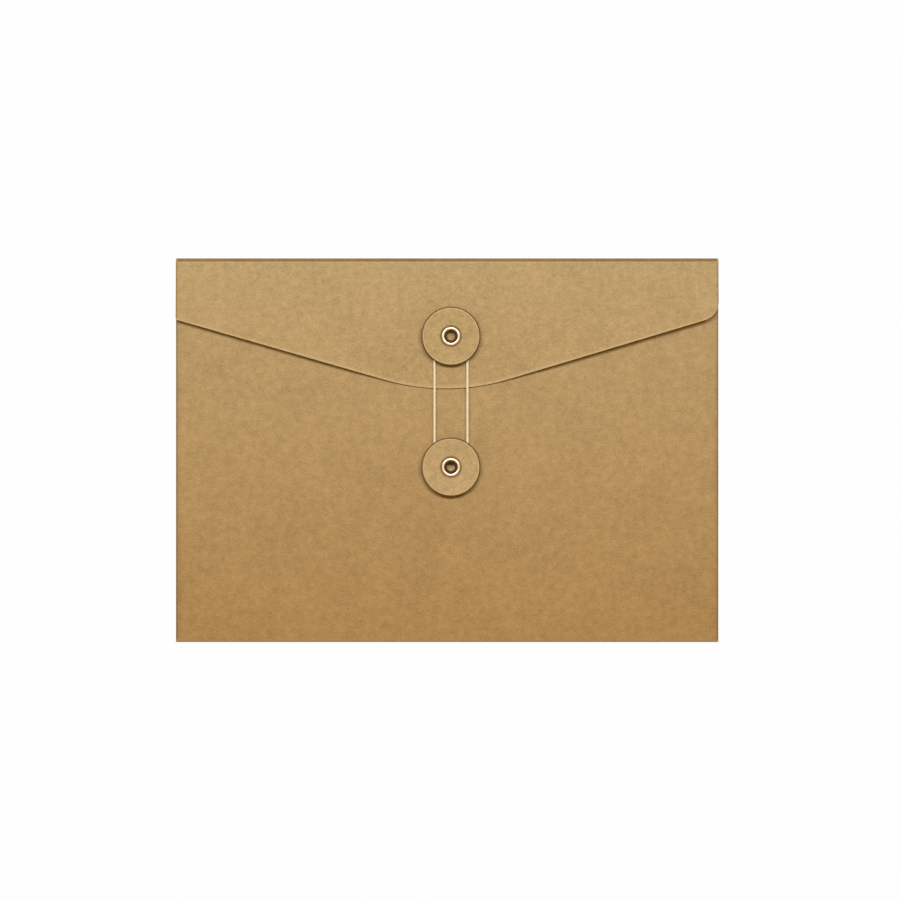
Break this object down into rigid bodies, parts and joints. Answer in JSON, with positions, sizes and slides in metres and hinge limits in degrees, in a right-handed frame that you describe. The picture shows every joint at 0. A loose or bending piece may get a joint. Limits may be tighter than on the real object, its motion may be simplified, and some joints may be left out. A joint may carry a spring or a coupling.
{
  "type": "string tie envelope",
  "caption": "Flat kraft board document envelope with a shallow vee flap, closed by a loop of string hooked round swivelling button discs on metal eyelets.",
  "frame": {"origin": "under the middle of the pocket, on the plane that the back lies on", "axes": "+X along the flap fold to the right, +Y from the bottom fold towards the flap fold, +Z out of the face that carries the flap and buttons"},
  "size_m": [0.229, 0.162, 0.0064],
  "materials": {
    "kraft_board": "matt unbleached kraft board with fine fibres",
    "kraft_disc": "matt die-cut kraft board",
    "grey_board": "matt pressed board",
    "bright_nickel": "bright nickel plate",
    "cotton_string": "twisted natural cotton",
    "seam_glue": "dried clear paper glue"
  },
  "bodies": {
    "pocket": {"back_panel": "kraft_board", "front_panel": "kraft_board", "bottom_fold": "kraft_board", "flap_fold": "kraft_board", "left_side_fold": "kraft_board", "right_side_fold": "kraft_board", "left_side_tab": "kraft_board", "right_side_tab": "kraft_board", "left_glue_film": "seam_glue", "right_glue_film": "seam_glue", "front_spacer": "grey_board", "front_eyelet": "bright_nickel"},
    "flap": {"closing_flap": "kraft_board", "flap_spacer": "grey_board", "flap_eyelet": "bright_nickel", "tie_string": "cotton_string", "string_knot": "cotton_string"},
    "flap_button": {"flap_disc": "kraft_disc"},
    "front_button": {"front_disc": "kraft_disc"}
  },
  "joints": [
    {"name": "flap_hinge", "type": "hinge", "parent": "pocket", "child": "flap", "pos_m": [0, 0.07952, 0.00147], "axis": [-1, 0, 0], "range_deg": [0, 170], "deforming": ["flap_fold", "tie_string"]},
    {"name": "flap_disc_swivel", "type": "hinge", "parent": "flap", "child": "flap_button", "pos_m": [0.0016, 0.0481, 0.00495], "axis": [0, 0, 1], "continuous": true},
    {"name": "front_disc_swivel", "type": "hinge", "parent": "pocket", "child": "front_button", "pos_m": [0.0016, -0.0071, 0.0041], "axis": [0, 0, 1], "continuous": true}
  ]
}
